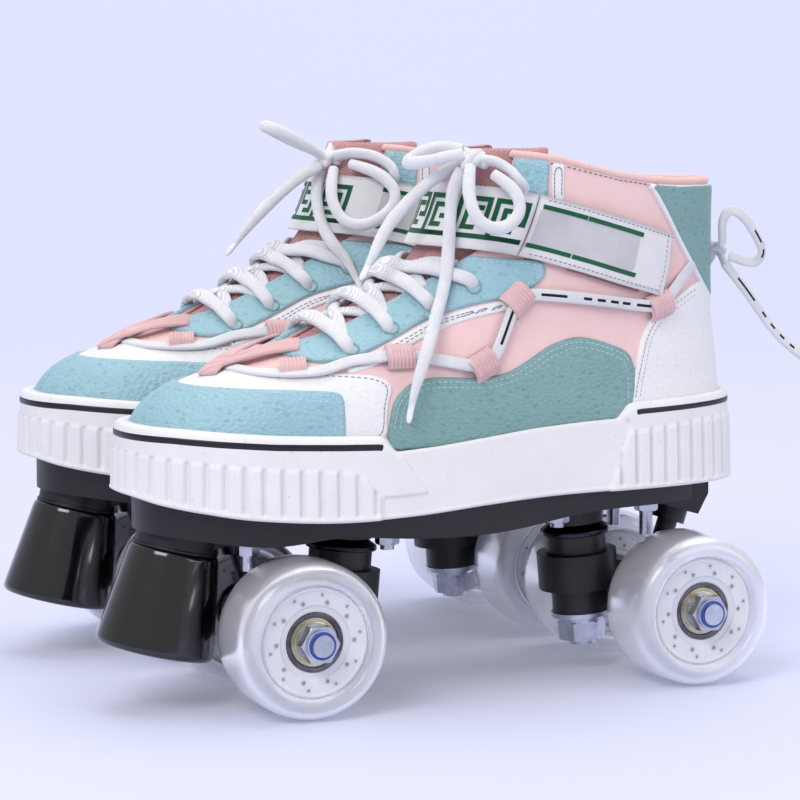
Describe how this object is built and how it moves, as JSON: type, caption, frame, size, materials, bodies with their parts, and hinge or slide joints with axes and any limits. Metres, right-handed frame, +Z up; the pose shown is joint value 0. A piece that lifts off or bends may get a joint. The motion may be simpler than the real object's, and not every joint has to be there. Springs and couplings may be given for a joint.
{
  "type": "quad roller skates",
  "caption": "Pair of high-top quad roller skates: trainer boots on a moulded plate, steering trucks on rubber cushions, clear wheels, toe stops, laces and ankle straps.",
  "frame": {"origin": "centre of the pair's bounding box in X and Y, at floor level under the wheels, with the free cord nodes left out", "axes": "+Z up, toes point along -X, left skate on the -Y side, right skate on the +Y side, wheel axles along Y"},
  "size_m": [0.3105, 0.2336, 0.2124],
  "materials": {
    "wheel_urethane": "clear to milky polyurethane, satin",
    "bearing_steel": "dark steel ring with a brassy shield",
    "black_nylon": "black glass-filled nylon, satin",
    "zinc_steel": "bright zinc plate",
    "black_rubber": "black urethane bushing, semi matte",
    "toe_stop_rubber": "glossy moulded black rubber",
    "sole_rubber": "white rubber with fine grey speckle",
    "pink_fabric": "fine pink knit-backed fabric",
    "teal_leather": "pebbled teal synthetic leather, stitched",
    "strap_webbing": "white ribbed webbing with green woven key pattern",
    "cord_white": "white woven flat cord with black dashes",
    "pink_webbing": "pink ribbed webbing",
    "lace_white": "soft white tubular braid"
  },
  "bodies": {
    "left_chassis": {"left_kingpins": "zinc_steel", "left_cushions": "black_rubber", "left_pivot_cups": "black_rubber", "left_baseplate": "black_nylon", "left_mounting_bolts": "zinc_steel", "left_toe_stop": "toe_stop_rubber", "left_toe_stop_bolt": "zinc_steel", "left_outsole": "sole_rubber", "left_boot_shell": "pink_fabric", "left_tongue": "pink_fabric", "left_leather_overlays": "teal_leather", "left_ankle_strap": "strap_webbing", "left_drawcord": "cord_white", "left_drawcord_ends": "cord_white", "left_cord_loops": "pink_webbing", "left_lace": "lace_white", "left_lace_ends": "lace_white"},
    "left_front_truck": {"left_front_hanger": "black_nylon", "left_front_axle_set": "zinc_steel"},
    "left_front_outer_wheel": {"left_front_outer_wheel": "wheel_urethane", "left_front_outer_bearings": "bearing_steel"},
    "left_front_inner_wheel": {"left_front_inner_wheel": "wheel_urethane", "left_front_inner_bearings": "bearing_steel"},
    "left_rear_truck": {"left_rear_hanger": "black_nylon", "left_rear_axle_set": "zinc_steel"},
    "left_rear_outer_wheel": {"left_rear_outer_wheel": "wheel_urethane", "left_rear_outer_bearings": "bearing_steel"},
    "left_rear_inner_wheel": {"left_rear_inner_wheel": "wheel_urethane", "left_rear_inner_bearings": "bearing_steel"},
    "left_strap_flap": {"left_strap_flap": "strap_webbing"},
    "right_chassis": {"right_kingpins": "zinc_steel", "right_cushions": "black_rubber", "right_pivot_cups": "black_rubber", "right_baseplate": "black_nylon", "right_mounting_bolts": "zinc_steel", "right_toe_stop": "toe_stop_rubber", "right_toe_stop_bolt": "zinc_steel", "right_outsole": "sole_rubber", "right_boot_shell": "pink_fabric", "right_tongue": "pink_fabric", "right_leather_overlays": "teal_leather", "right_ankle_strap": "strap_webbing", "right_drawcord": "cord_white", "right_drawcord_ends": "cord_white", "right_cord_loops": "pink_webbing", "right_lace": "lace_white", "right_lace_ends": "lace_white"},
    "right_front_truck": {"right_front_hanger": "black_nylon", "right_front_axle_set": "zinc_steel"},
    "right_front_outer_wheel": {"right_front_outer_wheel": "wheel_urethane", "right_front_outer_bearings": "bearing_steel"},
    "right_front_inner_wheel": {"right_front_inner_wheel": "wheel_urethane", "right_front_inner_bearings": "bearing_steel"},
    "right_rear_truck": {"right_rear_hanger": "black_nylon", "right_rear_axle_set": "zinc_steel"},
    "right_rear_outer_wheel": {"right_rear_outer_wheel": "wheel_urethane", "right_rear_outer_bearings": "bearing_steel"},
    "right_rear_inner_wheel": {"right_rear_inner_wheel": "wheel_urethane", "right_rear_inner_bearings": "bearing_steel"},
    "right_strap_flap": {"right_strap_flap": "strap_webbing"}
  },
  "joints": [
    {"name": "left_front_steer", "type": "hinge", "parent": "left_chassis", "child": "left_front_truck", "pos_m": [-0.03321, -0.0595, 0.04], "axis": [0.8971, 0, -0.4419], "range_deg": [-8, 8], "stiffness_Nm_per_rad": 8, "deforming": ["left_cushions"]},
    {"name": "left_front_outer_spin", "type": "hinge", "parent": "left_front_truck", "child": "left_front_outer_wheel", "pos_m": [-0.06181, -0.096, 0.029], "axis": [0, 1, 0], "continuous": true},
    {"name": "left_front_inner_spin", "type": "hinge", "parent": "left_front_truck", "child": "left_front_inner_wheel", "pos_m": [-0.06181, -0.023, 0.029], "axis": [0, 1, 0], "continuous": true},
    {"name": "left_rear_steer", "type": "hinge", "parent": "left_chassis", "child": "left_rear_truck", "pos_m": [0.06759, -0.0595, 0.04], "axis": [-0.8971, 0, -0.4419], "range_deg": [-8, 8], "stiffness_Nm_per_rad": 8, "deforming": ["left_cushions"]},
    {"name": "left_rear_outer_spin", "type": "hinge", "parent": "left_rear_truck", "child": "left_rear_outer_wheel", "pos_m": [0.09619, -0.096, 0.029], "axis": [0, 1, 0], "continuous": true},
    {"name": "left_rear_inner_spin", "type": "hinge", "parent": "left_rear_truck", "child": "left_rear_inner_wheel", "pos_m": [0.09619, -0.023, 0.029], "axis": [0, 1, 0], "continuous": true},
    {"name": "left_strap_open", "type": "hinge", "parent": "left_chassis", "child": "left_strap_flap", "pos_m": [0.03109, -0.0939, 0.172], "axis": [0, 0, -1], "range_deg": [0, 75]},
    {"name": "right_front_steer", "type": "hinge", "parent": "right_chassis", "child": "right_front_truck", "pos_m": [-0.03421, 0.0595, 0.04], "axis": [0.8971, 0, -0.4419], "range_deg": [-8, 8], "stiffness_Nm_per_rad": 8, "deforming": ["right_cushions"]},
    {"name": "right_front_outer_spin", "type": "hinge", "parent": "right_front_truck", "child": "right_front_outer_wheel", "pos_m": [-0.06281, 0.096, 0.029], "axis": [0, 1, 0], "continuous": true},
    {"name": "right_front_inner_spin", "type": "hinge", "parent": "right_front_truck", "child": "right_front_inner_wheel", "pos_m": [-0.06281, 0.023, 0.029], "axis": [0, 1, 0], "continuous": true},
    {"name": "right_rear_steer", "type": "hinge", "parent": "right_chassis", "child": "right_rear_truck", "pos_m": [0.06659, 0.0595, 0.04], "axis": [-0.8971, 0, -0.4419], "range_deg": [-8, 8], "stiffness_Nm_per_rad": 8, "deforming": ["right_cushions"]},
    {"name": "right_rear_outer_spin", "type": "hinge", "parent": "right_rear_truck", "child": "right_rear_outer_wheel", "pos_m": [0.09519, 0.096, 0.029], "axis": [0, 1, 0], "continuous": true},
    {"name": "right_rear_inner_spin", "type": "hinge", "parent": "right_rear_truck", "child": "right_rear_inner_wheel", "pos_m": [0.09519, 0.023, 0.029], "axis": [0, 1, 0], "continuous": true},
    {"name": "right_strap_open", "type": "hinge", "parent": "right_chassis", "child": "right_strap_flap", "pos_m": [0.03009, 0.0939, 0.172], "axis": [0, 0, 1], "range_deg": [0, 75]},
    {"name": "right_skate_roll", "type": "slide", "parent": "left_chassis", "child": "right_chassis", "axis": [1, 0, 0], "range_m": [-0.06, 0.06]}
  ]
}
